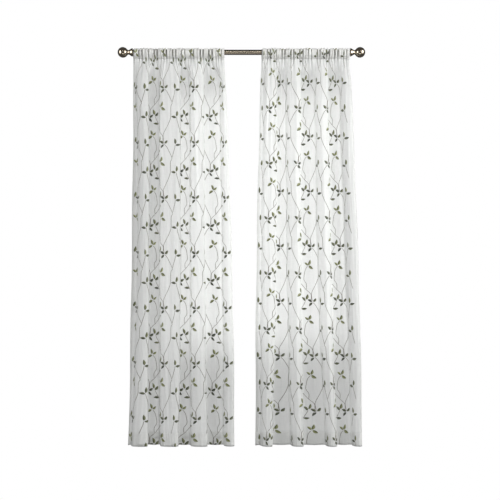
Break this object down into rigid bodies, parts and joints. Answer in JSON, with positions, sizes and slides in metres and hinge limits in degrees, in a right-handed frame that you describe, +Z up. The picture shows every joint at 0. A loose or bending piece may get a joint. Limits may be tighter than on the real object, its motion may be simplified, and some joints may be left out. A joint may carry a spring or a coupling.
{
  "type": "pair of sheer voile curtains on a curtain rod",
  "caption": "Sheer voile curtains with embroidered leaf sprigs, gathered by their rod pockets on one round metal rod with ball finials.",
  "frame": {"origin": "on the rod's axis, halfway between the tips of the finials", "axes": "+X along the rod, +Z up, the room towards -Y and the window towards +Y"},
  "size_m": [1.33, 0.0697, 2.1396],
  "materials": {
    "voile": "thin open plain weave with embroidered sage green leaf sprigs",
    "rod_metal": "antiqued bronze, polished",
    "embroidery_thread": "sage green satin-stitched thread, slightly glossy"
  },
  "bodies": {
    "root": {"rod": "rod_metal", "finial_left": "rod_metal", "finial_right": "rod_metal", "curtain_left": "voile", "curtain_right": "voile"}
  },
  "joints": []
}
